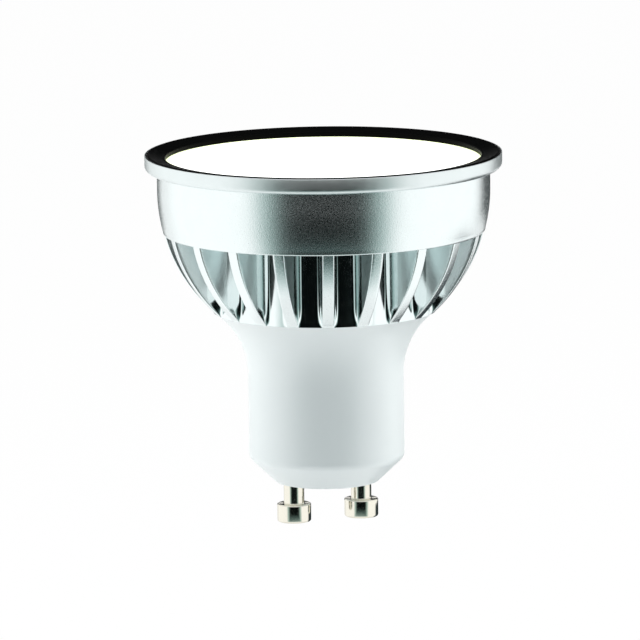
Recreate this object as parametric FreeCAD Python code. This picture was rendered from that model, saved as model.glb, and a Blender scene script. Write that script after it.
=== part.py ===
"""LED spot lamp with a GU10 twist-lock base, in millimetres.

Heights are drawn from the base's flat end, and each piece is then lifted so that the origin lies
midway between the contact pins, in the plane where a lampholder grips their heads. +Z runs along
the lamp's axis to the lit front, and the pins stand on the X axis.
"""
import FreeCAD
import Part
import math
import os

# Overall form
RIM_R = 25.0
PIN_SPACING = 10.0
AXIS_Z = FreeCAD.Vector(0, 0, 1)
ORIGIN = FreeCAD.Vector(0, 0, 0)

# Heat sink: fins whose outer edges lie on a sphere, round a solid core, under a band and a lip
BOWL_R = 23.3
BOWL_CENTRE_Z = 41.55
SINK_BOTTOM_Z = 24.3
CORE_R = math.sqrt(BOWL_R ** 2 - (BOWL_CENTRE_Z - SINK_BOTTOM_Z) ** 2)
FIN_COUNT = 20
FIN_THICK = 1.62
SLOT_TOP_Z = 35.45
BAND_TAPER_Z = 40.2
LIP_BOTTOM_Z = 44.3
LIP_TOP_Z = 46.2
CUP_R = 22.5
CUP_FLOOR_Z = 39.4

# Front ring and light cover
COVER_THICK = 1.4
COVER_TOP_Z = 45.5
RING_OUTER_R = 24.8
RING_CREST_R = 24.5
RING_CREST_Z = 46.7
RING_INNER_R = 22.1
RING_INNER_Z = 46.25

# Base housing
BASE_END_R = 7.2
STEM_R = 10.9
CHAMFER_TOP_Z = 3.5
STEM_TOP_Z = 15.1
BASE_RIM_R = CORE_R - 0.1
FLARE_STEPS = 2
BASE_BORE_R = 8.9
BASE_FLOOR_Z = 3.0

# Contact pins
PIN_NECK_R = 1.45
PIN_HEAD_R = 2.4
PIN_HEAD_H = 2.6
PIN_LENGTH = 5.5
PIN_EDGE = 0.35
LOCK_PLANE_Z = PIN_HEAD_H - PIN_LENGTH

# Light board: a six-sided aluminium-core board with its light sources in two rings
STAR_R = 17.5
BOARD_THICK = 1.6
BOARD_TOP_Z = CUP_FLOOR_Z + BOARD_THICK
LED_SIZE = (3.5, 2.8, 0.8)
LED_RINGS = ((11.6, 6), (6.0, 3))

# Driver, upright in the base, and the leads at its two ends
DRIVER_Y = (-1.7, -0.7)
DRIVER_WIDTH = 17.4
DRIVER_Z = (BASE_FLOOR_Z, 22.6)
STRIP_WIDTH = 1.4
STRIP_THICK = 0.4
LEAD_SIZE = 0.64
LEAD_OFFSET = 1.0
LEAD_HOLE = (3.4, 2.0)
STRIP_TOP_Z = 8.0
LED_LEAD_Z = (18.5, BOARD_TOP_Z + 0.5)
CAPACITOR_R = 2.9
CAPACITOR_X = -4.6
TRANSFORMER_X = 2.9
TRANSFORMER_Z = (8.3, 16.5)
TRANSFORMER_WIDTH = 8.4
TRANSFORMER_DEPTH = 4.5
TRANSFORMER_GAP = 1.0
CORE_LIMB = 1.2
BOBBIN_WALL = 0.6
WINDING_THICK = 0.9


def point(r, z):
    return FreeCAD.Vector(r, 0, z)


def edges_through(start, steps):
    """Edges from start through steps: a point draws a line, a (middle, end) pair draws an arc."""
    edges = []
    here = start
    for step in steps:
        if isinstance(step, tuple):
            edges.append(Part.Arc(here, step[0], step[1]).toShape())
            here = step[1]
        else:
            edges.append(Part.LineSegment(here, step).toShape())
            here = step
    return edges


def closed_face(start, *steps):
    """Face inside an outline; a line closes it unless its last arc ends at the start."""
    if not isinstance(steps[-1], tuple):
        steps += (start,)
    return Part.Face(Part.Wire(edges_through(start, steps)))


def turned(start, *steps):
    """Solid of revolution about the lamp's axis from a closed outline of point(r, z)."""
    return closed_face(start, *steps).revolve(ORIGIN, AXIS_Z, 360)


def cylinder(radius, z_range, x=0.0, y=0.0):
    return Part.makeCylinder(radius, z_range[1] - z_range[0], FreeCAD.Vector(x, y, z_range[0]))


def box(x_range, y_range, z_range):
    size = [high - low for low, high in (x_range, y_range, z_range)]
    return Part.makeBox(*size, FreeCAD.Vector(x_range[0], y_range[0], z_range[0]))


def about_axis(shape, degrees):
    return shape.rotated(ORIGIN, AXIS_Z, degrees)


def on_circle(shape, count, first=0.0):
    """Copies of shape spaced evenly about the lamp's axis."""
    return [about_axis(shape, first + 360.0 * i / count) for i in range(count)]


def on_bowl(z):
    """Point of the bowl's outside at height z."""
    return point(math.sqrt(BOWL_R ** 2 - (BOWL_CENTRE_Z - z) ** 2), z)


def slot_cutter():
    """Space between two fins of even thickness, pointing along +X."""
    half_pitch = math.pi / FIN_COUNT
    low = SINK_BOTTOM_Z - 1

    def on_wall(radius, side):
        turn = side * (half_pitch - math.asin(FIN_THICK / 2 / radius))
        return FreeCAD.Vector(radius * math.cos(turn), radius * math.sin(turn), low)

    floor = closed_face(
        on_wall(CORE_R, -1),
        on_wall(RIM_R + 5, -1),
        on_wall(RIM_R + 5, 1),
        on_wall(CORE_R, 1),
        (point(CORE_R, low), on_wall(CORE_R, -1)),
    )
    return floor.extrude(AXIS_Z * (SLOT_TOP_Z - low))


def lead_hole(z_range):
    """Opening at the lamp's axis where the two leads pass."""
    x, y = LEAD_HOLE
    return box((-x / 2, x / 2), (-y / 2, y / 2), z_range)


def heat_sink():
    """Die-cast body: lip, band, fins, core, and the cup that the light board sits in."""
    fin_mid_z = (SINK_BOTTOM_Z + SLOT_TOP_Z) / 2
    body = turned(
        point(0, SINK_BOTTOM_Z),
        point(CORE_R, SINK_BOTTOM_Z),
        (on_bowl(fin_mid_z), on_bowl(SLOT_TOP_Z)),
        point(BOWL_R, BAND_TAPER_Z),
        point(BOWL_R, LIP_BOTTOM_Z),
        point(RIM_R, LIP_BOTTOM_Z),
        point(RIM_R, LIP_TOP_Z),
        point(CUP_R, LIP_TOP_Z),
        point(CUP_R, CUP_FLOOR_Z),
        point(0, CUP_FLOOR_Z),
    )
    slots = on_circle(slot_cutter(), FIN_COUNT, 180.0 / FIN_COUNT)
    body = body.cut(Part.makeCompound(slots))
    return body.cut(lead_hole((SINK_BOTTOM_Z, CUP_FLOOR_Z)))


def front_ring():
    """Black ring on the lip: it dips inwards from its crest, and its collar holds the cover down."""
    return turned(
        point(RING_INNER_R, COVER_TOP_Z),
        point(CUP_R, COVER_TOP_Z),
        point(CUP_R, LIP_TOP_Z),
        point(RING_OUTER_R, LIP_TOP_Z),
        point(RING_CREST_R, RING_CREST_Z),
        point(RING_INNER_R, RING_INNER_Z),
    )


def diffuser():
    """Opal light cover: a plain disc pressed into the mouth of the cup, under the ring."""
    return cylinder(CUP_R, (COVER_TOP_Z - COVER_THICK, COVER_TOP_Z))


def flare_points():
    """Points of the arc that leaves the stem upright and ends at the base's rim."""
    rise = SINK_BOTTOM_Z - STEM_TOP_Z
    spread = BASE_RIM_R - STEM_R
    radius = (rise ** 2 + spread ** 2) / (2 * spread)
    full_turn = math.asin(rise / radius)
    turns = [full_turn * i / FLARE_STEPS for i in range(1, FLARE_STEPS + 1)]
    return [
        point(STEM_R + radius * (1 - math.cos(turn)), STEM_TOP_Z + radius * math.sin(turn))
        for turn in turns
    ]


def base_housing():
    """Moulded base: flat end, chamfer, stem, and a flared top that meets the heat sink."""
    shell = turned(
        point(0, 0),
        point(BASE_END_R, 0),
        point(STEM_R, CHAMFER_TOP_Z),
        point(STEM_R, STEM_TOP_Z),
        *flare_points(),
        point(BASE_BORE_R, SINK_BOTTOM_Z),
        point(BASE_BORE_R, BASE_FLOOR_Z),
        point(0, BASE_FLOOR_Z),
    )
    holes = []
    for side in (-1, 1):
        holes.append(cylinder(PIN_NECK_R, (0, BASE_FLOOR_Z), side * PIN_SPACING / 2))
    return shell.cut(Part.makeCompound(holes))


def contact_pin(side):
    """Twist-lock pin: headed foot below the base, and a neck pressed through its floor."""
    tip_z = -PIN_LENGTH
    head_top_z = tip_z + PIN_HEAD_H
    pin = turned(
        point(0, tip_z),
        point(PIN_HEAD_R - PIN_EDGE, tip_z),
        point(PIN_HEAD_R, tip_z + PIN_EDGE),
        point(PIN_HEAD_R, head_top_z),
        point(PIN_NECK_R, head_top_z),
        point(PIN_NECK_R, BASE_FLOOR_Z),
        point(0, BASE_FLOOR_Z),
    )
    return pin.translated(FreeCAD.Vector(side * PIN_SPACING / 2, 0, 0))


def led_board():
    """Six-sided board with an opening for the leads."""
    first = Part.Vertex(point(STAR_R, CUP_FLOOR_Z))
    corners = [corner.Point for corner in on_circle(first, 6)]
    board = closed_face(*corners).extrude(AXIS_Z * BOARD_THICK)
    return board.cut(lead_hole((CUP_FLOOR_Z, BOARD_TOP_Z)))


def led_packages():
    """Light sources in two rings on the board."""
    length, width, height = LED_SIZE
    pieces = []
    for ring_r, count in LED_RINGS:
        piece = box(
            (ring_r - length / 2, ring_r + length / 2),
            (-width / 2, width / 2),
            (BOARD_TOP_Z, BOARD_TOP_Z + height),
        )
        pieces += on_circle(piece, count, 30)
    return Part.makeCompound(pieces)


def driver_board():
    """Circuit board that stands on the base's floor, wedged across its bore."""
    return box((-DRIVER_WIDTH / 2, DRIVER_WIDTH / 2), DRIVER_Y, DRIVER_Z)


def on_driver_front(x_range, depth, z_range):
    """Block that stands on the driver board's front face."""
    return box(x_range, (DRIVER_Y[1], DRIVER_Y[1] + depth), z_range)


def on_driver_back(x_range, depth, z_range):
    """Block that stands on the driver board's back face."""
    return box(x_range, (DRIVER_Y[0] - depth, DRIVER_Y[0]), z_range)


def smoothing_capacitor():
    return cylinder(CAPACITOR_R, (8.6, 19.6), CAPACITOR_X, DRIVER_Y[1] + CAPACITOR_R)


def film_capacitor():
    return on_driver_front((2.2, 6.7), 3.5, (17.2, 22.2))


def input_fuse():
    return on_driver_back((-6.5, -2.5), 3.0, (5.0, 9.0))


def bridge_rectifier():
    return on_driver_back((0.5, 5.3), 2.4, (5.0, 8.9))


def driver_chip():
    return on_driver_back((-2.0, 2.0), 1.5, (11.0, 15.9))


def output_diode():
    return on_driver_back((-2.2, 2.2), 2.1, (18.0, 20.6))


def about_limb(half, z_range):
    """Square block about the transformer's middle limb."""
    middle_y = DRIVER_Y[1] + TRANSFORMER_GAP + TRANSFORMER_DEPTH / 2
    x_range = (TRANSFORMER_X - half, TRANSFORMER_X + half)
    return box(x_range, (middle_y - half, middle_y + half), z_range)


def transformer_window():
    """Height range between the transformer's two yokes."""
    return TRANSFORMER_Z[0] + CORE_LIMB, TRANSFORMER_Z[1] - CORE_LIMB


def transformer_core():
    """Ferrite frame: two yokes, two outer limbs and a middle limb."""
    low_y = DRIVER_Y[1] + TRANSFORMER_GAP
    y_range = (low_y, low_y + TRANSFORMER_DEPTH)
    sides = (TRANSFORMER_X - TRANSFORMER_WIDTH / 2, TRANSFORMER_X + TRANSFORMER_WIDTH / 2)
    block = box(sides, y_range, TRANSFORMER_Z)
    window = box((sides[0] + CORE_LIMB, sides[1] - CORE_LIMB), y_range, transformer_window())
    middle = about_limb(CORE_LIMB, transformer_window())
    return block.cut(window).fuse(middle).removeSplitter()


def transformer_bobbin():
    """Spool on the middle limb, with a foot that reaches the driver board."""
    low, high = transformer_window()
    flange = TRANSFORMER_WIDTH / 2 - CORE_LIMB
    low_flange = (low, low + BOBBIN_WALL)
    foot_x = (TRANSFORMER_X - flange, TRANSFORMER_X + flange)
    tube = about_limb(CORE_LIMB + BOBBIN_WALL, (low, high))
    spool = tube.fuse([
        about_limb(flange, low_flange),
        about_limb(flange, (high - BOBBIN_WALL, high)),
        on_driver_front(foot_x, TRANSFORMER_GAP, low_flange),
    ])
    return spool.cut(about_limb(CORE_LIMB, (low, high))).removeSplitter()


def transformer_winding():
    low, high = transformer_window()
    z_range = (low + BOBBIN_WALL, high - BOBBIN_WALL)
    inner = CORE_LIMB + BOBBIN_WALL
    return about_limb(inner + WINDING_THICK, z_range).cut(about_limb(inner, z_range))


def mains_lead(side):
    """Flat strip from a pin's end up the face of the driver board."""
    middle = side * PIN_SPACING / 2
    x_range = (middle - STRIP_WIDTH / 2, middle + STRIP_WIDTH / 2)
    return on_driver_front(x_range, STRIP_THICK, (BASE_FLOOR_Z, STRIP_TOP_Z))


def led_lead(side):
    """Straight square lead from the driver board up through the light board."""
    middle = side * LEAD_OFFSET
    x_range = (middle - LEAD_SIZE / 2, middle + LEAD_SIZE / 2)
    return on_driver_front(x_range, LEAD_SIZE, LED_LEAD_Z)


PARTS = {
    "heat_sink": heat_sink,
    "front_ring": front_ring,
    "diffuser": diffuser,
    "base_housing": base_housing,
    "contact_pin_live": lambda: contact_pin(-1),
    "contact_pin_neutral": lambda: contact_pin(1),
    "led_board": led_board,
    "led_packages": led_packages,
    "driver_board": driver_board,
    "smoothing_capacitor": smoothing_capacitor,
    "film_capacitor": film_capacitor,
    "input_fuse": input_fuse,
    "bridge_rectifier": bridge_rectifier,
    "driver_chip": driver_chip,
    "output_diode": output_diode,
    "transformer_core": transformer_core,
    "transformer_bobbin": transformer_bobbin,
    "transformer_winding": transformer_winding,
    "mains_lead_live": lambda: mains_lead(-1),
    "mains_lead_neutral": lambda: mains_lead(1),
    "led_lead_positive": lambda: led_lead(-1),
    "led_lead_negative": lambda: led_lead(1),
}

os.makedirs("parts", exist_ok=True)
for name, make in PARTS.items():
    lifted = make().translated(FreeCAD.Vector(0, 0, -LOCK_PLANE_Z))
    lifted.exportStep("parts/" + name + ".step")
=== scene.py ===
"""Dresses an LED spot lamp: finned heat sink, lit opal front, white moulded base and contact pins."""
import math

import bmesh
import bpy
from mathutils import Matrix, Vector


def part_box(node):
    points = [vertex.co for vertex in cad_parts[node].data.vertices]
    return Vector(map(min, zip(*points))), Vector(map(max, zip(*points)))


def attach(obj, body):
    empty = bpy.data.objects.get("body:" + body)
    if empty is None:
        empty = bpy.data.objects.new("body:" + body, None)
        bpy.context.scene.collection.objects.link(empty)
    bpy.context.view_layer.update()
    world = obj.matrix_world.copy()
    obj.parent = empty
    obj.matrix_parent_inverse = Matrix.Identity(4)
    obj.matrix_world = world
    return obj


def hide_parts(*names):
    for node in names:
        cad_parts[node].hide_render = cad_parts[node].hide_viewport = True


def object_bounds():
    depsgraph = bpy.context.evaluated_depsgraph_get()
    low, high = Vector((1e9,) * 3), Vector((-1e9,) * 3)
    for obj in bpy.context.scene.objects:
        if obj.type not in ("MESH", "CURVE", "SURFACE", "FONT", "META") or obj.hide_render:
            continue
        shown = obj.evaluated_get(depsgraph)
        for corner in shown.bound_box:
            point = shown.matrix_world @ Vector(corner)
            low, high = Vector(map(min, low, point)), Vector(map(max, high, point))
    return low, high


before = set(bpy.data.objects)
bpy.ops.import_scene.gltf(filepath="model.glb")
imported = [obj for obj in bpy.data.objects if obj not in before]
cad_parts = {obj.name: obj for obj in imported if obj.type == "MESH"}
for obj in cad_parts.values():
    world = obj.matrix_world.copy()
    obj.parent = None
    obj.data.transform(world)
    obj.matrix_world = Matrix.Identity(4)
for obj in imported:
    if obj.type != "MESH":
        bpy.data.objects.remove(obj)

bl_info = {
    "name": "LED spot lamp",
    "version": (1, 0, 0),
    "blender": (4, 5, 0),
    "location": "View3D > Sidebar > Spot lamp",
    "description": "Builds the visible pieces of an LED spot lamp round its packed solids",
    "category": "Object",
}

CAD_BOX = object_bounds()
MM = 0.001
IMAGE_PX = 640
SENSOR_MM = 36.0

# Heights below are in millimetres from the base's flat end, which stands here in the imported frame.
BASE_END_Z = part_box("base_housing")[0].z

# Heat sink
BOWL_R = 23.3
BOWL_CENTRE_Z = 41.55
SINK_BOTTOM_Z = 24.3
CORE_R = math.sqrt(BOWL_R ** 2 - (BOWL_CENTRE_Z - SINK_BOTTOM_Z) ** 2)
FIN_COUNT = 20
FIN_HALF = 0.81
SLOT_TOP_Z = 35.45
LIP_BOTTOM_Z = 44.3
LIP_TOP_Z = 46.2
LIP_EDGE_Z = 46.5
LIP_R = 25.0
CUP_R = 22.5
CUP_FLOOR_Z = 39.4
LEAD_HOLE = (1.7, 1.0)
LIP_ROOT = 0.25
LIP_TOP_EDGE = 0.08
CUP_CORNER = 0.4
ROOT_DEPTH = 2.0
FIN_STEP = 0.12
FIN_RINGS = 26
FACE_STEPS, EDGE_STEPS, WALL_STEPS, ROOT_STEPS, FLOOR_STEPS = 3, 3, 7, 6, 6
BAND_EDGE_STEPS, BAND_STEPS = 6, 12

# Slots of the heat sink's finishes; the tumbled and turned slots hold copies of the aluminium painted paler, as
# light, and darker, as shade.
BLASTED, TUMBLED_PAINTED_LIT, BRIGHT, TURNED_PAINTED_SHADE = range(4)

# Front ring and light cover
RING_OUTER_R = 24.8
RING_CREST_R = 24.74
RING_CREST_Z = 46.7
RING_CREST_EDGE = 0.3
RING_INNER_R = 22.1
RING_INNER_Z = 46.2
RING_INNER_EDGE = 0.25
COVER_TOP_Z = 45.5
COVER_THICK = 1.4
COVER_TOP_EDGE = 0.05
COVER_LOW_EDGE = 0.15

# Base housing and pins
BASE_END_R = 7.2
BASE_END_EDGE = 0.5
STEM_R = 10.9
CHAMFER_TOP_Z = 3.5
STEM_TOP_Z = 15.1
FLARE_STEPS = 24
BASE_RIM_R = CORE_R - 0.1
BORE_R = 8.9
BASE_FLOOR_Z = 3.0
PIN_X = 5.0
PIN_NECK_R = 1.45
PIN_HEAD_R = 2.4
PIN_HEAD_H = 2.6
PIN_TIP_Z = -5.5
PIN_HEAD_EDGE = 0.22
PIN_NECK_ROOT = 0.12
TURN_STEPS = 240
PIN_STEPS = 96

# Studio, in metres
FLOOR_HALF = 6.0
FLOOR_WHITE = 0.985
CARD_LIFT = 0.5 * MM
CARD_R = 0.3
CARD_STEPS = 48
CARD_GLOW = 1.2
SOFTBOX_SIZE = (0.34, 0.28)
SOFTBOX_AWAY = 0.24
SOFTBOX_LIFT = 0.141
OVERHEAD_Z = 0.45


def linear(code):
    """Linear colour with alpha from an sRGB hex code."""
    values = []
    for i in (1, 3, 5):
        part = int(code[i:i + 2], 16) / 255
        values.append(part / 12.92 if part <= 0.04045 else ((part + 0.055) / 1.055) ** 2.4)
    return (*values, 1.0)


class SpotLampSizes(bpy.types.PropertyGroup):
    """Edge roundings of the visible pieces"""
    fin_edge: bpy.props.FloatProperty(
        name="Fin edge", description="Radius along each fin's outer edges",
        default=0.16 * MM, min=0.02 * MM, max=0.5 * MM, unit="LENGTH", precision=5)
    fin_root: bpy.props.FloatProperty(
        name="Fin root", description="Radius where a fin meets the core",
        default=0.6 * MM, min=0.05 * MM, max=1.2 * MM, unit="LENGTH", precision=5)
    band_edge: bpy.props.FloatProperty(
        name="Band edge", description="Radius of the band's lower edge",
        default=0.28 * MM, min=0.05 * MM, max=0.28 * MM, unit="LENGTH", precision=5)
    lip_edge: bpy.props.FloatProperty(
        name="Lip edge", description="Radius of the lip's lower edge",
        default=0.8 * MM, min=0.05 * MM, max=0.9 * MM, unit="LENGTH", precision=5)
    chamfer_edge: bpy.props.FloatProperty(
        name="Chamfer edge", description="Radius where the base's chamfer meets its stem",
        default=1.4 * MM, min=0.1 * MM, max=3.0 * MM, unit="LENGTH", precision=5)
    pin_edge: bpy.props.FloatProperty(
        name="Pin edge", description="Radius round the foot of each pin",
        default=0.35 * MM, min=0.05 * MM, max=0.6 * MM, unit="LENGTH", precision=5)


class SpotLampColours(bpy.types.PropertyGroup):
    """Main colours of the finishes"""
    metal: bpy.props.FloatVectorProperty(
        name="Heat sink", description="Colour of the cast aluminium",
        default=linear("#EAF2F2"), size=4, subtype="COLOR", min=0, max=1)
    ring: bpy.props.FloatVectorProperty(
        name="Front ring", description="Colour of the moulded ring",
        default=linear("#050505"), size=4, subtype="COLOR", min=0, max=1)
    glow: bpy.props.FloatVectorProperty(
        name="Light", description="Colour of the lit cover",
        default=linear("#FFFFFC"), size=4, subtype="COLOR", min=0, max=1)
    base: bpy.props.FloatVectorProperty(
        name="Base", description="Colour of the moulded base",
        default=linear("#E7EBEA"), size=4, subtype="COLOR", min=0, max=1)
    pins: bpy.props.FloatVectorProperty(
        name="Pins", description="Colour of the plated pins",
        default=linear("#E8E5D8"), size=4, subtype="COLOR", min=0, max=1)


class SpotLampStage(bpy.types.PropertyGroup):
    """Camera and studio light"""
    azimuth: bpy.props.FloatProperty(
        name="Azimuth", description="Camera's turn about the lamp",
        default=math.radians(-19.3), subtype="ANGLE")
    elevation: bpy.props.FloatProperty(
        name="Elevation", description="Camera's height angle above the lamp's middle",
        default=math.radians(9.5), subtype="ANGLE")
    roll: bpy.props.FloatProperty(
        name="Roll", description="Camera's turn about its own axis",
        default=math.radians(-0.75), subtype="ANGLE")
    distance: bpy.props.FloatProperty(
        name="Distance", description="From the camera to the lamp's middle",
        default=1.3, min=0.2, unit="LENGTH")
    focal_px: bpy.props.FloatProperty(
        name="Focal length", description="Focal length in pixels of the square picture",
        default=9277.0, min=100)
    target: bpy.props.FloatVectorProperty(
        name="Target", description="Sideways and height offset of the picture's centre from the base's end",
        default=(-0.75 * MM, 22.8 * MM), size=2, unit="LENGTH", precision=5)
    drop: bpy.props.FloatProperty(
        name="Drop", description="Height of the hanging lamp above the floor",
        default=25.0 * MM, min=0, unit="LENGTH")
    softbox: bpy.props.FloatProperty(
        name="Softboxes", description="Power of each side softbox", default=0.64, min=0, unit="POWER")
    overhead: bpy.props.FloatProperty(
        name="Overhead", description="Power of the softbox above", default=1.5, min=0, unit="POWER")
    fill: bpy.props.FloatProperty(
        name="Fill", description="Brightness of the room on matt surfaces", default=0.14, min=0)


def add_node(tree, kind, inputs=None, **settings):
    """Adds a node, gives it its settings, and sets or links its inputs."""
    made = tree.nodes.new(kind)
    for key, value in settings.items():
        setattr(made, key, value)
    for socket, value in (inputs or {}).items():
        if isinstance(value, bpy.types.NodeSocket):
            tree.links.new(value, made.inputs[socket])
        else:
            made.inputs[socket].default_value = value
    return made


def per_mm(size):
    """Texture scale that gives features of this size in millimetres."""
    return 1 / (size * MM)


def new_material(name):
    """Empty node material and its output node."""
    material = bpy.data.materials.new(name)
    material.use_nodes = True
    material.node_tree.nodes.clear()
    return material, add_node(material.node_tree, "ShaderNodeOutputMaterial")


def surface(name, dark, pale, patch_mm, rough, grain_mm, grain_depth_mm, **constants):
    """Principled finish: two close colours in soft patches, uneven gloss and a fine grain."""
    material, output = new_material(name)
    tree = material.node_tree
    place = add_node(tree, "ShaderNodeTexCoord").outputs["Object"]
    patches = add_node(tree, "ShaderNodeTexNoise", {"Vector": place, "Scale": per_mm(patch_mm), "Detail": 3.0})
    grain = add_node(tree, "ShaderNodeTexNoise", {"Vector": place, "Scale": per_mm(grain_mm), "Detail": 2.0})
    colour = add_node(tree, "ShaderNodeMixRGB", {"Fac": patches.outputs["Fac"], "Color1": dark, "Color2": pale})
    gloss = add_node(tree, "ShaderNodeMapRange", {
        "Value": grain.outputs["Fac"], "From Min": 0.3, "From Max": 0.7, "To Min": rough[0], "To Max": rough[1]})
    relief = add_node(tree, "ShaderNodeBump", {
        "Height": grain.outputs["Fac"], "Strength": 1.0, "Distance": grain_depth_mm * MM})
    shader = add_node(tree, "ShaderNodeBsdfPrincipled", {
        "Base Color": colour.outputs["Color"], "Roughness": gloss.outputs["Result"],
        "Normal": relief.outputs["Normal"], **constants})
    tree.links.new(shader.outputs["BSDF"], output.inputs["Surface"])
    return material


def colour_ramp(tree, place, kind, stops):
    """Colour socket of a ramp along a gradient: stops are (value, colour)."""
    along = add_node(tree, "ShaderNodeTexGradient", {"Vector": place}, gradient_type=kind)
    blend = add_node(tree, "ShaderNodeValToRGB", {"Fac": along.outputs["Fac"]})
    marks = blend.color_ramp.elements
    marks.remove(marks[0])
    for value, colour in stops:
        marks.new(value).color = colour
    marks.remove(marks[-1])
    return blend.outputs["Color"]


def by_radius(tree, reach, stops):
    """Colour socket that changes with the distance from the axis: stops are (share of reach, colour)."""
    place = add_node(tree, "ShaderNodeTexCoord").outputs["Object"]
    flat = add_node(tree, "ShaderNodeMapping", {"Vector": place, "Scale": (1 / reach, 1 / reach, 0)})
    return colour_ramp(tree, flat.outputs["Vector"], "SPHERICAL", [(1 - share, colour) for share, colour in stops])


def shade(colour, amount):
    """The same colour, scaled in brightness."""
    return (*(min(1.0, part * amount) for part in colour[:3]), 1.0)


def blasted_aluminium(colour):
    """Die-cast aluminium, bead-blasted: a soft wide sheen with a fine sparkle of dimples.

    The real dimples are about 0.1 mm wide, too fine to show, and are drawn 0.2 mm wide.
    """
    return surface("die_cast_aluminium_bead_blasted", shade(colour, 0.94), colour, 2.5,
                   (0.23, 0.28), 0.2, 0.012, Metallic=1.0)


def tumbled_aluminium_painted_lit(colour):
    """Die-cast aluminium, lightly tumbled: reflections melt into soft pale bands down the fins. The paleness is
    painted light: the colour is set paler than the cast aluminium's on the slot walls and ceilings.
    """
    return surface("die_cast_aluminium_tumbled_painted_lit", shade(colour, 1.09), shade(colour, 1.125), 3.0,
                   (0.28, 0.34), 0.9, 0.003, Metallic=1.0)


def turned_aluminium_painted_shade(colour):
    """Die-cast aluminium, turned after casting: an even sheen on the lip, with no sparkle. Its grey is painted
    shade: the colour is set darker than the cast aluminium's.
    """
    return surface("die_cast_aluminium_turned_painted_shade", shade(colour, 0.88), shade(colour, 0.93), 3.0,
                   (0.32, 0.37), 0.9, 0.003, Metallic=1.0)


def bright_aluminium(colour):
    """Die-cast aluminium as it leaves a polished mould: clear reflections, slightly wavy."""
    return surface("die_cast_aluminium_bright", shade(colour, 0.92), colour, 3.0,
                   (0.08, 0.14), 0.9, 0.003, Metallic=1.0)


def black_polycarbonate(colour):
    """Moulded black polycarbonate: deep black with a soft gloss along its edges."""
    return surface("polycarbonate_black_moulded", colour, shade(colour, 1.5), 4.0,
                   (0.30, 0.40), 0.35, 0.003, **{"IOR": 1.58, "Specular IOR Level": 0.01})


def white_pbt(colour):
    """Moulded white PBT: milky and even, with a satin sheen."""
    return surface("pbt_white_moulded", shade(colour, 0.98), colour, 6.0,
                   (0.30, 0.36), 0.8, 0.003, IOR=1.55)


def nickel_plate(colour):
    """Bright nickel on turned brass: warm mirror, very slightly uneven."""
    return surface("nickel_plate_on_turned_brass", shade(colour, 0.94), colour, 1.5,
                   (0.08, 0.15), 0.3, 0.002, Metallic=1.0)


def lit_opal(colour):
    """Moulded opal polycarbonate with the light on behind it: even white, a hint of green at the rim."""
    material, output = new_material("polycarbonate_opal_lit")
    tree = material.node_tree
    place = add_node(tree, "ShaderNodeTexCoord").outputs["Object"]
    glow = by_radius(tree, RING_INNER_R * MM, (
        (0.92, colour), (0.96, linear("#F4F8C8")), (1.0, linear("#B9C97C"))))
    grain = add_node(tree, "ShaderNodeTexNoise", {"Vector": place, "Scale": per_mm(0.5)})
    relief = add_node(tree, "ShaderNodeBump", {"Height": grain.outputs["Fac"], "Distance": 0.004 * MM})
    shader = add_node(tree, "ShaderNodeBsdfPrincipled", {
        "Base Color": linear("#F4F4EF"), "Roughness": 0.35, "IOR": 1.58, "Normal": relief.outputs["Normal"],
        "Emission Color": glow, "Emission Strength": 1.3})
    tree.links.new(shader.outputs["BSDF"], output.inputs["Surface"])
    return material


def rounded(corners, steps=6):
    """Outline through corners (r, z, radius), each corner turned into an arc of its radius."""
    points = []
    count = len(corners)
    for i, (r, z, radius) in enumerate(corners):
        here = Vector((r, z))
        if radius <= 0:
            points.append(here)
            continue
        back = (Vector(corners[i - 1][:2]) - here).normalized()
        ahead = (Vector(corners[(i + 1) % count][:2]) - here).normalized()
        half = back.angle(ahead) / 2
        centre = here + (back + ahead).normalized() * (radius / math.sin(half))
        first = here + back * (radius / math.tan(half)) - centre
        turn = first.angle_signed(here + ahead * (radius / math.tan(half)) - centre)
        for k in range(steps + 1):
            arm = first.copy()
            arm.rotate(Matrix.Rotation(-turn * k / steps, 2))
            points.append(centre + arm)
    return points


def at(angle, r, z, x=0.0):
    """Point in metres from an angle, a radius and a height in millimetres, about an axis at x."""
    return Vector((x * MM + r * MM * math.cos(angle), r * MM * math.sin(angle), BASE_END_Z + z * MM))


def ring_of(bm, angles, r, z, x=0.0):
    """New vertices on a circle."""
    return [bm.verts.new(at(angle, r, z, x)) for angle in angles]


def skin(bm, low, high, closed=True):
    """Quads between two rows of vertices of the same length."""
    faces = []
    for i in range(len(low) if closed else len(low) - 1):
        k = (i + 1) % len(low)
        faces.append(bm.faces.new((low[i], low[k], high[k], high[i])))
    return faces


def fill(bm, *loops):
    """Flat faces inside the first loop of vertices and outside the others."""
    edges = []
    for loop in loops:
        for i, vertex in enumerate(loop):
            pair = (vertex, loop[(i + 1) % len(loop)])
            edges.append(bm.edges.get(pair) or bm.edges.new(pair))
    bmesh.ops.triangle_fill(bm, edges=edges, use_beauty=True)


def even_angles(count):
    return [2 * math.pi * i / count for i in range(count)]


def make_piece(bm, name, node, slot, *materials):
    """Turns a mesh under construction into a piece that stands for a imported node."""
    bmesh.ops.recalc_face_normals(bm, faces=bm.faces)
    mesh = bpy.data.meshes.new(name)
    bm.to_mesh(mesh)
    bm.free()
    mesh.shade_smooth()
    mesh.set_sharp_from_angle(angle=math.radians(38))
    piece = bpy.data.objects.new(name, mesh)
    bpy.context.scene.collection.objects.link(piece)
    for material in materials:
        mesh.materials.append(material)
    normals = piece.modifiers.new("even_shading", "WEIGHTED_NORMAL")
    normals.keep_sharp = True
    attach(piece, "root")
    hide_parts(node)


def turned(bm, outline, steps, x=0.0):
    """Rows of vertices round an axis for an open outline, joined by quads."""
    angles = even_angles(steps)
    rows = [ring_of(bm, angles, r, z, x) for r, z in outline]
    for low, high in zip(rows, rows[1:]):
        skin(bm, low, high)
    return rows


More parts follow.
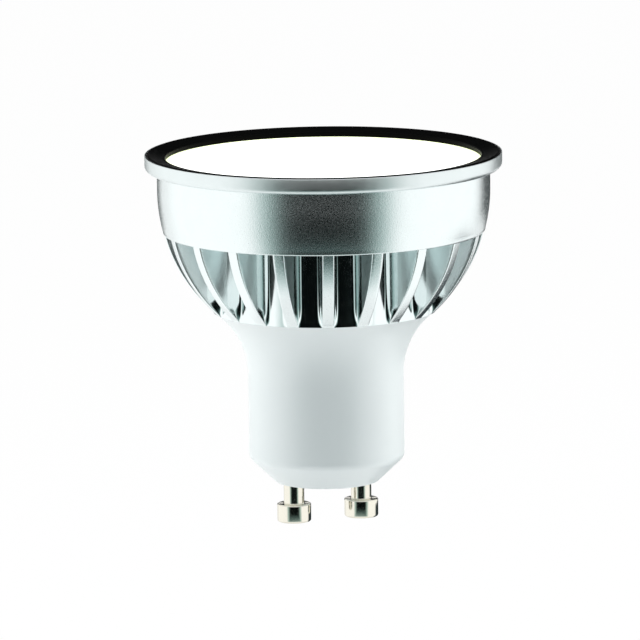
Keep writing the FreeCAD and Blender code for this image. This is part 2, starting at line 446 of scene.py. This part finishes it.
def fin_radius(z):
    """Radius of the fins' outer edges: on the bowl, a little inside the band at the top."""
    bowl = math.sqrt(BOWL_R ** 2 - (BOWL_CENTRE_Z - z) ** 2)
    share = (z - SINK_BOTTOM_Z) / (SLOT_TOP_Z - SINK_BOTTOM_Z)
    return max(bowl - FIN_STEP * share ** 4, CORE_R + 0.06)


def half_section(outer, edge, root):
    """(angle, radius) pairs from the middle of a fin, down its wall, to the middle of a slot."""
    room = outer - CORE_R
    edge = min(edge, 0.3 * room)
    rise = min(ROOT_DEPTH, 0.9 * (room - edge))
    pairs = [((FIN_HALF - edge) * k / FACE_STEPS, outer) for k in range(FACE_STEPS + 1)]
    for k in range(1, EDGE_STEPS + 1):
        turn = math.pi / 2 * k / EDGE_STEPS
        pairs.append((FIN_HALF - edge * (1 - math.sin(turn)), outer - edge * (1 - math.cos(turn))))
    for k in range(1, WALL_STEPS + 1):
        share = k / WALL_STEPS
        pairs.append((FIN_HALF, (outer - edge) * (1 - share) + (CORE_R + rise) * share))
    for k in range(1, ROOT_STEPS + 1):
        turn = math.pi / 2 * k / ROOT_STEPS
        pairs.append((FIN_HALF + root * (1 - math.cos(turn)), CORE_R + rise * (1 - math.sin(turn))))
    pairs = [(math.asin(half / r), r) for half, r in pairs]
    start = pairs[-1][0]
    for k in range(1, FLOOR_STEPS + 1):
        pairs.append((start + (math.pi / FIN_COUNT - start) * k / FLOOR_STEPS, CORE_R))
    return pairs


def section_ring(bm, z, edge, root):
    """Closed row of vertices round all the fins and slots at height z."""
    half = half_section(fin_radius(z), edge, root)
    period = 2 * math.pi / FIN_COUNT
    mirrored = [(period - angle, r) for angle, r in reversed(half[1:-1])]
    row = []
    for fin in range(FIN_COUNT):
        row += [bm.verts.new(at(fin * period + angle, r, z)) for angle, r in half + mirrored]
    return row


def slot_ceilings(bm, ring):
    """Closes each slot at its top, and returns the row of vertices round the band's lower edge."""
    per_fin = len(ring) // FIN_COUNT
    corner = FACE_STEPS
    deep = FACE_STEPS + EDGE_STEPS + WALL_STEPS
    across = 2 * (ROOT_STEPS + FLOOR_STEPS)
    down = EDGE_STEPS + WALL_STEPS
    outer_row = []
    for fin in range(FIN_COUNT):
        own = [ring[(fin * per_fin + i) % len(ring)] for i in range(per_fin + 1)]
        left = own[corner:deep + 1]
        right = list(reversed(own[per_fin - deep:per_fin - corner + 1]))
        inner = own[deep:per_fin - deep + 1]
        grid = [[None] * (across + 1) for _ in range(down + 1)]
        for v in range(down + 1):
            grid[v][0], grid[v][across] = left[v], right[v]
        grid[down] = inner
        first, last = left[0].co, right[0].co
        radius = math.hypot(first.x, first.y)
        start = math.atan2(first.y, first.x)
        sweep = (math.atan2(last.y, last.x) - start) % (2 * math.pi)
        arc = []
        for u in range(across + 1):
            angle = start + sweep * u / across
            arc.append(Vector((radius * math.cos(angle), radius * math.sin(angle), first.z)))
        for v in range(down):
            for u in range(1, across):
                s, t = u / across, v / down
                sides = left[v].co * (1 - s) + right[v].co * s
                ends = arc[u] * (1 - t) + inner[u].co * t
                corners = ((arc[0] * (1 - s) + arc[-1] * s) * (1 - t)
                           + (inner[0].co * (1 - s) + inner[-1].co * s) * t)
                grid[v][u] = bm.verts.new(sides + ends - corners)
        for upper, lower in zip(grid, grid[1:]):
            skin(bm, upper, lower, closed=False)
        outer_row += own[:corner] + grid[0] + own[per_fin - corner + 1:per_fin]
    return outer_row


def sink_outline(sizes):
    """Outline above the slots: band edge, band, lip and cup."""
    top = fin_radius(SLOT_TOP_Z)
    edge = sizes.band_edge / MM
    start = BOWL_R ** 2 - (BOWL_CENTRE_Z - SLOT_TOP_Z - edge) ** 2
    outline = []
    for k in range(1, BAND_EDGE_STEPS + 1):
        turn = math.pi / 2 * k / BAND_EDGE_STEPS
        reach = math.sqrt(start) - top
        outline.append(Vector((top + reach * math.sin(turn), SLOT_TOP_Z + edge * (1 - math.cos(turn)))))
    for k in range(1, BAND_STEPS + 1):
        z = SLOT_TOP_Z + edge + (BOWL_CENTRE_Z - SLOT_TOP_Z - edge) * k / BAND_STEPS
        outline.append(Vector((math.sqrt(BOWL_R ** 2 - (BOWL_CENTRE_Z - z) ** 2), z)))
    closing = rounded([
        (BOWL_R, BOWL_CENTRE_Z, 0),
        (BOWL_R, LIP_BOTTOM_Z, LIP_ROOT),
        (LIP_R, LIP_BOTTOM_Z, sizes.lip_edge / MM),
        (LIP_R, LIP_EDGE_Z, LIP_TOP_EDGE),
        (RING_OUTER_R, LIP_EDGE_Z, LIP_TOP_EDGE),
        (RING_OUTER_R, LIP_TOP_Z, 0),
        (CUP_R, LIP_TOP_Z, 0),
        (CUP_R, CUP_FLOOR_Z, CUP_CORNER),
        (0, CUP_FLOOR_Z, 0),
    ])
    return outline + closing[1:-1]


class SPOTLAMP_OT_heat_sink(bpy.types.Operator):
    """Cast heat sink with fins, band, lip and cup"""
    bl_idname = "spot_lamp.heat_sink"
    bl_label = "Heat sink"

    def execute(self, context):
        sizes, colours = context.scene.spot_lamp_sizes, context.scene.spot_lamp_colours
        bm = bmesh.new()
        edge, root = sizes.fin_edge / MM, sizes.fin_root / MM
        rise = SLOT_TOP_Z - SINK_BOTTOM_Z
        heights = [SINK_BOTTOM_Z + rise * (k / FIN_RINGS) ** 1.4 for k in range(FIN_RINGS + 1)]
        rows = [section_ring(bm, z, edge, root) for z in heights]
        per_fin = len(rows[0]) // FIN_COUNT
        wall = FACE_STEPS + EDGE_STEPS
        floor = wall + WALL_STEPS
        # Fin faces take the blasted finish, slot floors the bright one, and slot walls the paler copy of the
        # aluminium, a painted light.
        for low, high in zip(rows, rows[1:]):
            for i, face in enumerate(skin(bm, low, high)):
                inward = min(i % per_fin, per_fin - 1 - i % per_fin)
                face.material_index = BLASTED if inward < wall else TUMBLED_PAINTED_LIT if inward < floor else BRIGHT
        below = len(bm.faces)
        row = slot_ceilings(bm, rows[-1])
        # The slot ceilings take the same paler copy, painted light.
        for face in list(bm.faces)[below:]:
            face.material_index = TUMBLED_PAINTED_LIT
        angles = [math.atan2(vertex.co.y, vertex.co.x) for vertex in row]
        # Above the lip's lower edge the heat sink takes the darker copy of the aluminium, a painted shade; the
        # band below takes the blasted finish.
        for r, z in sink_outline(sizes):
            above = ring_of(bm, angles, r, z)
            for face in skin(bm, row, above):
                face.material_index = TURNED_PAINTED_SHADE if z > LIP_BOTTOM_Z else BLASTED
            row = above
        hole = []
        for z, loop in ((SINK_BOTTOM_Z, rows[0]), (CUP_FLOOR_Z, row)):
            x, y = LEAD_HOLE
            corners = ((x, y), (-x, y), (-x, -y), (x, -y))
            hole.append([bm.verts.new((a * MM, b * MM, BASE_END_Z + z * MM)) for a, b in corners])
            fill(bm, loop, hole[-1])
        skin(bm, *hole)
        make_piece(bm, "finned_heat_sink", "heat_sink", "cast_aluminium",
                   blasted_aluminium(colours.metal), tumbled_aluminium_painted_lit(colours.metal),
                   bright_aluminium(colours.metal), turned_aluminium_painted_shade(colours.metal))
        return {"FINISHED"}


class SPOTLAMP_OT_front(bpy.types.Operator):
    """Black front ring and lit opal cover"""
    bl_idname = "spot_lamp.front"
    bl_label = "Front ring and light cover"

    def execute(self, context):
        colours = context.scene.spot_lamp_colours
        bm = bmesh.new()
        outline = rounded([
            (RING_INNER_R, COVER_TOP_Z, 0),
            (CUP_R, COVER_TOP_Z, 0),
            (CUP_R, LIP_TOP_Z, 0),
            (RING_OUTER_R, LIP_TOP_Z, 0),
            (RING_CREST_R, RING_CREST_Z, RING_CREST_EDGE),
            (RING_INNER_R, RING_INNER_Z, RING_INNER_EDGE),
        ])
        rows = turned(bm, outline, TURN_STEPS)
        skin(bm, rows[-1], rows[0])
        make_piece(bm, "moulded_front_ring", "front_ring", "black_ring", black_polycarbonate(colours.ring))
        bm = bmesh.new()
        bottom = COVER_TOP_Z - COVER_THICK
        outline = rounded([
            (0, bottom, 0),
            (CUP_R, bottom, COVER_LOW_EDGE),
            (CUP_R, COVER_TOP_Z, COVER_TOP_EDGE),
            (0, COVER_TOP_Z, 0),
        ], 3)
        rows = turned(bm, outline[1:-1], TURN_STEPS)
        fill(bm, rows[0])
        fill(bm, rows[-1])
        make_piece(bm, "opal_light_cover", "diffuser", "opal_cover", lit_opal(colours.glow))
        return {"FINISHED"}


class SPOTLAMP_OT_base(bpy.types.Operator):
    """Moulded base with its flared top"""
    bl_idname = "spot_lamp.base"
    bl_label = "Base housing"

    def execute(self, context):
        sizes, colours = context.scene.spot_lamp_sizes, context.scene.spot_lamp_colours
        rise, spread = SINK_BOTTOM_Z - STEM_TOP_Z, BASE_RIM_R - STEM_R
        radius = (rise ** 2 + spread ** 2) / (2 * spread)
        full_turn = math.asin(rise / radius)
        outline = rounded([
            (0, 0, 0),
            (BASE_END_R, 0, BASE_END_EDGE),
            (STEM_R, CHAMFER_TOP_Z, sizes.chamfer_edge / MM),
            (STEM_R, STEM_TOP_Z, 0),
            (0, STEM_TOP_Z, 0),
        ], 10)[1:-1]
        for k in range(1, FLARE_STEPS + 1):
            turn = full_turn * k / FLARE_STEPS
            outline.append(Vector((STEM_R + radius * (1 - math.cos(turn)), STEM_TOP_Z + radius * math.sin(turn))))
        outline += [Vector((BORE_R, SINK_BOTTOM_Z)), Vector((BORE_R, BASE_FLOOR_Z))]
        bm = bmesh.new()
        rows = turned(bm, outline, TURN_STEPS)
        angles = even_angles(PIN_STEPS)
        holes = []
        for x in (-PIN_X, PIN_X):
            low, high = (ring_of(bm, angles, PIN_NECK_R, z, x) for z in (0, BASE_FLOOR_Z))
            skin(bm, low, high)
            holes.append((low, high))
        fill(bm, rows[0], holes[0][0], holes[1][0])
        fill(bm, rows[-1], holes[0][1], holes[1][1])
        make_piece(bm, "moulded_base", "base_housing", "white_base", white_pbt(colours.base))
        return {"FINISHED"}


class SPOTLAMP_OT_pins(bpy.types.Operator):
    """Two headed contact pins"""
    bl_idname = "spot_lamp.pins"
    bl_label = "Contact pins"

    def execute(self, context):
        sizes, colours = context.scene.spot_lamp_sizes, context.scene.spot_lamp_colours
        plate = nickel_plate(colours.pins)
        head_top = PIN_TIP_Z + PIN_HEAD_H
        outline = rounded([
            (0, PIN_TIP_Z, 0),
            (PIN_HEAD_R, PIN_TIP_Z, sizes.pin_edge / MM),
            (PIN_HEAD_R, head_top, PIN_HEAD_EDGE),
            (PIN_NECK_R, head_top, PIN_NECK_ROOT),
            (PIN_NECK_R, BASE_FLOOR_Z, 0),
            (0, BASE_FLOOR_Z, 0),
        ])[1:-1]
        for side, node in ((-1, "contact_pin_live"), (1, "contact_pin_neutral")):
            bm = bmesh.new()
            rows = turned(bm, outline, PIN_STEPS, side * PIN_X)
            fill(bm, rows[0])
            fill(bm, rows[-1])
            make_piece(bm, "turned_" + node, node, "nickel_plate", plate)
        return {"FINISHED"}


# Finishes of the inner nodes: darker and paler colour, gloss range, whether it is metal, and the nodes
INNER_FINISHES = {
    "aluminium_board_white_mask": ("#E4E6E4", "#F2F3F1", (0.35, 0.5), 0.0, ("led_board",)),
    "phosphor_silicone_cast": ("#D9B53A", "#EACB5C", (0.3, 0.45), 0.0, ("led_packages",)),
    "fr4_laminate_green_mask": ("#1F5A31", "#2E7441", (0.3, 0.45), 0.0, ("driver_board",)),
    "pvc_sleeve_shrunk": ("#1B2233", "#262F45", (0.25, 0.4), 0.0, ("smoothing_capacitor",)),
    "epoxy_dipped_brown": ("#7A2F1B", "#8C3C25", (0.25, 0.4), 0.0, ("film_capacitor",)),
    "epoxy_moulded_black": ("#1A1A1A", "#262626", (0.4, 0.6), 0.0,
                            ("input_fuse", "bridge_rectifier", "driver_chip", "output_diode")),
    "ferrite_sintered": ("#333436", "#444547", (0.5, 0.7), 0.0, ("transformer_core",)),
    "nylon_moulded_black": ("#202020", "#2C2C2C", (0.4, 0.55), 0.0, ("transformer_bobbin",)),
    "polyester_tape_yellow": ("#C9A63A", "#DDBB4E", (0.3, 0.45), 0.0, ("transformer_winding",)),
    "tinned_copper_strip": ("#B9BABA", "#CFCFCE", (0.2, 0.35), 1.0,
                            ("mains_lead_live", "mains_lead_neutral", "led_lead_positive", "led_lead_negative")),
}
INNER_PATCH, INNER_GRAIN, INNER_GRAIN_DEPTH = 2.0, 0.3, 0.004


class SPOTLAMP_OT_inside(bpy.types.Operator):
    """Finishes of the pieces inside the lamp"""
    bl_idname = "spot_lamp.inside"
    bl_label = "Inner pieces"

    def execute(self, context):
        for name, (dark, pale, rough, metallic, nodes) in INNER_FINISHES.items():
            finish = surface(name, linear(dark), linear(pale), INNER_PATCH, rough, INNER_GRAIN,
                             INNER_GRAIN_DEPTH, Metallic=metallic)
            for node in nodes:
                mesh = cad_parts[node].data
                mesh.materials.clear()
                mesh.materials.append(finish)
        return {"FINISHED"}


def curved_card(name, middle, spread, outline, reach, stops, turn_stops):
    """Studio card of (radius, height) rows, curved about the lamp, seen only by reflections.

    Its brightness is the greater of two: by the distance from the lamp, and by the turn from the card's
    middle, where turn_stops are (degrees, colour).
    """
    bm = bmesh.new()
    rows = []
    for radius, z in outline:
        angles = [spread * (k / CARD_STEPS - 0.5) for k in range(CARD_STEPS + 1)]
        rows.append([bm.verts.new((radius * math.cos(a), radius * math.sin(a), z)) for a in angles])
    for low, high in zip(rows, rows[1:]):
        skin(bm, low, high, closed=False)
    mesh = bpy.data.meshes.new(name)
    bm.to_mesh(mesh)
    bm.free()
    card = bpy.data.objects.new(name, mesh)
    card.rotation_euler.z = middle - math.pi / 2
    bpy.context.scene.collection.objects.link(card)
    material, output = new_material(name + "_paint")
    tree = material.node_tree
    place = add_node(tree, "ShaderNodeTexCoord").outputs["Object"]
    sides = [(0.5 - degrees / 360, colour) for degrees, colour in reversed(turn_stops)]
    sides += [(0.5 + degrees / 360, colour) for degrees, colour in turn_stops if degrees]
    glow = add_node(tree, "ShaderNodeMixRGB", {
        "Fac": 1.0, "Color1": by_radius(tree, reach, stops), "Color2": colour_ramp(tree, place, "RADIAL", sides)},
        blend_type="LIGHTEN")
    shader = add_node(tree, "ShaderNodeEmission", {"Color": glow.outputs["Color"], "Strength": CARD_GLOW})
    tree.links.new(shader.outputs["Emission"], output.inputs["Surface"])
    mesh.materials.append(material)
    card.visible_camera = False
    card.visible_diffuse = False
    card.visible_shadow = False
    card.visible_transmission = False


def softbox(name, away, place, power):
    """Lamp panel for the matt surfaces; reflections take their highlights from the cards and the room."""
    lamp = bpy.data.lights.new(name, "AREA")
    lamp.shape = "RECTANGLE"
    lamp.size, lamp.size_y = SOFTBOX_SIZE
    lamp.energy = power
    holder = bpy.data.objects.new(name, lamp)
    holder.location = place
    holder.rotation_euler = (-away).to_track_quat("-Z", "Y").to_euler()
    holder.visible_glossy = False
    bpy.context.scene.collection.objects.link(holder)


def pale_floor(height):
    """White floor that keeps a faint shadow."""
    bm = bmesh.new()
    bmesh.ops.create_grid(bm, x_segments=1, y_segments=1, size=FLOOR_HALF)
    mesh = bpy.data.meshes.new("studio_floor")
    bm.to_mesh(mesh)
    bm.free()
    floor = bpy.data.objects.new("studio_floor", mesh)
    floor.location.z = height
    bpy.context.scene.collection.objects.link(floor)
    material, output = new_material("studio_floor_white")
    tree = material.node_tree
    matt = add_node(tree, "ShaderNodeBsdfDiffuse", {"Color": linear("#F8F8F8")})
    white = add_node(tree, "ShaderNodeEmission", {"Strength": 1.0})
    path = add_node(tree, "ShaderNodeLightPath")
    seen = add_node(tree, "ShaderNodeMath", {0: path.outputs["Is Camera Ray"], 1: path.outputs["Is Glossy Ray"]},
                    operation="MAXIMUM")
    share = add_node(tree, "ShaderNodeMath", {0: seen.outputs[0], 1: FLOOR_WHITE}, operation="MULTIPLY")
    both = add_node(tree, "ShaderNodeMixShader", {
        0: share.outputs[0], 1: matt.outputs["BSDF"], 2: white.outputs["Emission"]})
    tree.links.new(both.outputs["Shader"], output.inputs["Surface"])
    mesh.materials.append(material)


def studio_world(fill_level):
    """White to the camera, to reflections and through glass; a softer level on matt surfaces."""
    world = bpy.data.worlds.new("studio_white")
    world.use_nodes = True
    tree = world.node_tree
    tree.nodes.clear()
    path = add_node(tree, "ShaderNodeLightPath")
    seen = add_node(tree, "ShaderNodeMath", {0: path.outputs["Is Camera Ray"], 1: path.outputs["Is Glossy Ray"]},
                    operation="MAXIMUM")
    shown = add_node(tree, "ShaderNodeMath", {0: seen.outputs[0], 1: path.outputs["Is Transmission Ray"]},
                     operation="MAXIMUM")
    soft = add_node(tree, "ShaderNodeBackground", {"Color": linear("#A8DEEC"), "Strength": fill_level})
    white = add_node(tree, "ShaderNodeBackground", {"Color": linear("#FFFFFF"), "Strength": 1.0})
    both = add_node(tree, "ShaderNodeMixShader", {
        0: shown.outputs[0], 1: soft.outputs["Background"], 2: white.outputs["Background"]})
    add_node(tree, "ShaderNodeOutputWorld", {"Surface": both.outputs["Shader"]})
    bpy.context.scene.world = world


class SPOTLAMP_OT_stage(bpy.types.Operator):
    """Floor, studio light and camera"""
    bl_idname = "spot_lamp.stage"
    bl_label = "Stage"

    def execute(self, context):
        scene = context.scene
        stage = scene.spot_lamp_stage
        floor_z = CAD_BOX[0].z - stage.drop
        pale_floor(floor_z)
        studio_world(stage.fill)
        turn = stage.azimuth
        ground = floor_z + CARD_LIFT
        curved_card("dark_card_front", turn, math.radians(260),
                    ((0.04, ground), (CARD_R, ground), (CARD_R, 0.075)), 0.143,
                    ((0.3, linear("#FAFAFA")), (0.42, linear("#B8C8C6")), (0.63, linear("#4E6462")),
                     (0.95, linear("#060909"))),
                    ((0, linear("#010202")), (28, linear("#080C0C")), (40, linear("#9BB4B0")),
                     (52, linear("#FFFFFF"))))
        # The gap between the two cards behind the lamp keeps the tops of the pins' heads bright.
        dark = ((0.1, linear("#05090A")), (0.9, linear("#070B0C")))
        for name, low, high in (("dark_card_back", 0.066, 0.4), ("dark_card_low", ground, 0.046)):
            curved_card(name, turn + math.radians(172), math.radians(72), ((CARD_R, low), (CARD_R, high)), CARD_R,
                        dark, ((0, linear("#05090A")), (36, linear("#1C2628"))))
        above = ground + CARD_LIFT
        curved_card("dark_card_right", turn + math.radians(138), math.radians(70),
                    ((0.03, above), (0.18, above)), CARD_R, dark,
                    ((0, linear("#0A1214")), (20, linear("#22343A")), (35, linear("#FFFFFF"))))
        side, height = stage.target
        aim = Vector((math.cos(turn) * side, math.sin(turn) * side, BASE_END_Z + height))
        for hand in (-1, 1):
            swing = turn + hand * math.radians(90)
            away = Vector((math.sin(swing), -math.cos(swing), 0))
            place = away * SOFTBOX_AWAY + Vector((0, 0, ground + SOFTBOX_LIFT))
            softbox("side_softbox", away, place, stage.softbox)
        softbox("overhead_softbox", Vector((0, 0, 1)), Vector((0, 0, OVERHEAD_Z)), stage.overhead)
        back = Vector((math.sin(turn) * math.cos(stage.elevation),
                       -math.cos(turn) * math.cos(stage.elevation), math.sin(stage.elevation)))
        lens = bpy.data.cameras.new("photo_camera")
        lens.sensor_width = SENSOR_MM
        lens.lens = stage.focal_px / IMAGE_PX * SENSOR_MM
        camera = bpy.data.objects.new("photo_camera", lens)
        camera.location = aim + back * stage.distance
        facing = (-back).to_track_quat("-Z", "Y").to_matrix()
        roll = Matrix.Rotation(stage.roll, 3, "Z")
        camera.rotation_euler = (facing @ roll).to_euler()
        scene.collection.objects.link(camera)
        scene.camera = camera
        scene.view_settings.view_transform = "Standard"
        return {"FINISHED"}


STEPS = (SPOTLAMP_OT_heat_sink, SPOTLAMP_OT_front, SPOTLAMP_OT_base, SPOTLAMP_OT_pins, SPOTLAMP_OT_inside,
         SPOTLAMP_OT_stage)
GROUPS = {
    "spot_lamp_sizes": SpotLampSizes,
    "spot_lamp_colours": SpotLampColours,
    "spot_lamp_stage": SpotLampStage,
}


class VIEW3D_PT_spot_lamp(bpy.types.Panel):
    """Sizes, colours and steps of the lamp"""
    bl_label = "Spot lamp"
    bl_space_type = "VIEW_3D"
    bl_region_type = "UI"
    bl_category = "Spot lamp"

    def draw(self, context):
        for step in STEPS:
            self.layout.operator(step.bl_idname)
        for name, group in GROUPS.items():
            box = self.layout.box()
            for key in group.__annotations__:
                box.prop(getattr(context.scene, name), key)


def register():
    for group in (*GROUPS.values(), *STEPS, VIEW3D_PT_spot_lamp):
        bpy.utils.register_class(group)
    for name, group in GROUPS.items():
        setattr(bpy.types.Scene, name, bpy.props.PointerProperty(type=group))


def unregister():
    for name in GROUPS:
        delattr(bpy.types.Scene, name)
    for group in (VIEW3D_PT_spot_lamp, *reversed(STEPS), *GROUPS.values()):
        bpy.utils.unregister_class(group)


def main():
    register()
    for step in STEPS:
        space, action = step.bl_idname.split(".")
        getattr(getattr(bpy.ops, space), action)()


if __name__ == "__main__":
    main()
